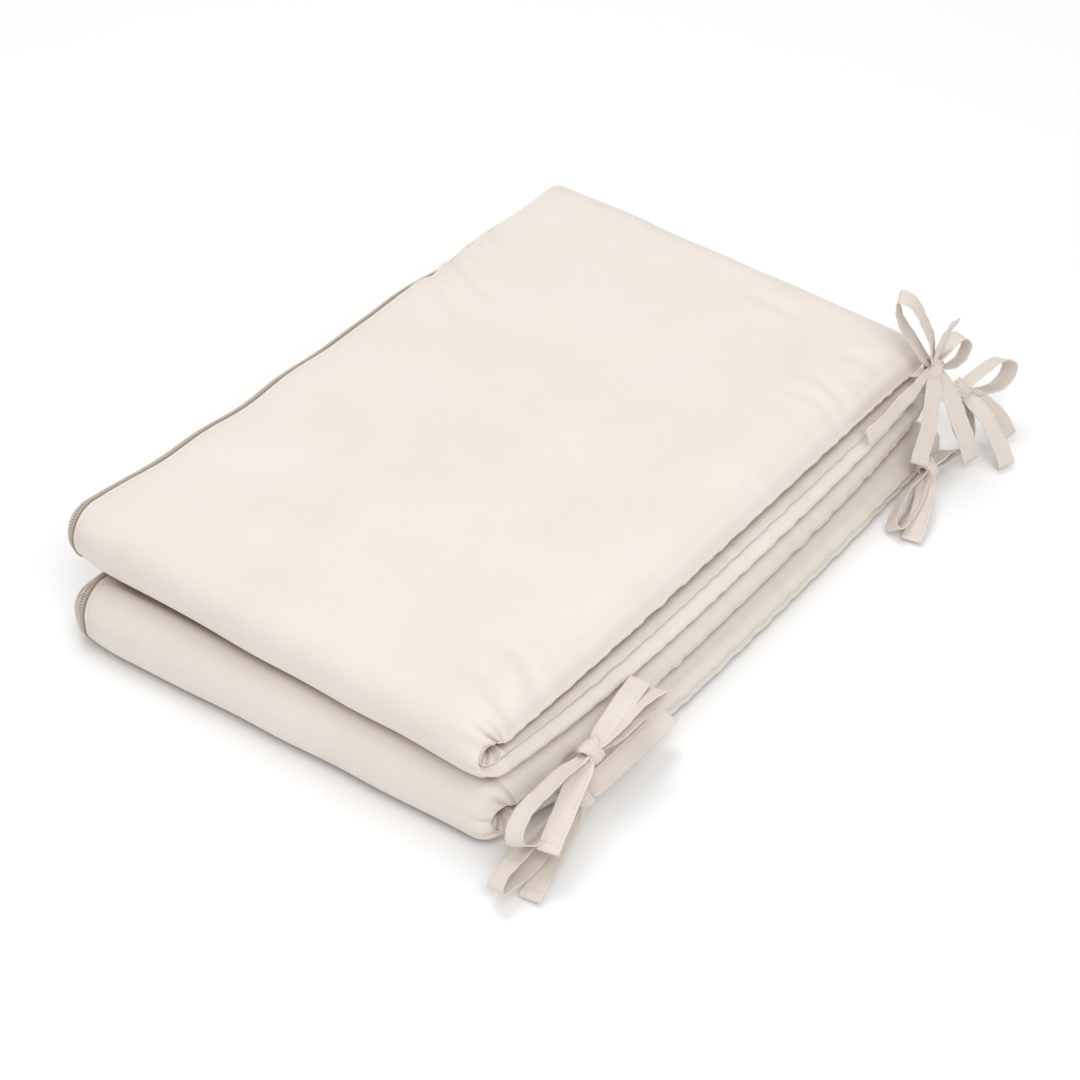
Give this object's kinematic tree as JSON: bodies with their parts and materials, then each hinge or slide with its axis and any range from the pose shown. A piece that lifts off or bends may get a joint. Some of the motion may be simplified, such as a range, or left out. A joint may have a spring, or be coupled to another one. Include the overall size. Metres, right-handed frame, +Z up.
{
  "type": "folded crib bumper",
  "caption": "Long filled cot bumper of plain cream cotton, folded back and forth into a flat stack, with a zip along one edge and tape ties in bows along the other",
  "frame": {"origin": "on the flat underside of the lowest layer, near the middle of the folded stack", "axes": "+Z up out of the surface it rests on, +X across the strip from the zip edge to the tie edge, +Y along the layers from the front folds to the back fold"},
  "size_m": [0.3752, 0.5348, 0.1269],
  "materials": {
    "cover_cotton": "smooth plain weave, cream",
    "tie_cotton": "folded and stitched plain weave, cream",
    "zip_cloth": "ribbed woven tape, taupe",
    "zip_nylon": "satin coil, taupe"
  },
  "bodies": {
    "root": {"padded_strip": "cover_cotton", "zip_tape": "zip_cloth", "zip_coil": "zip_nylon", "tie_front_upper": "tie_cotton", "tie_front_lower": "tie_cotton", "tie_top_end": "tie_cotton", "tie_back_fold": "tie_cotton", "tie_lower_end": "tie_cotton"}
  },
  "joints": []
}
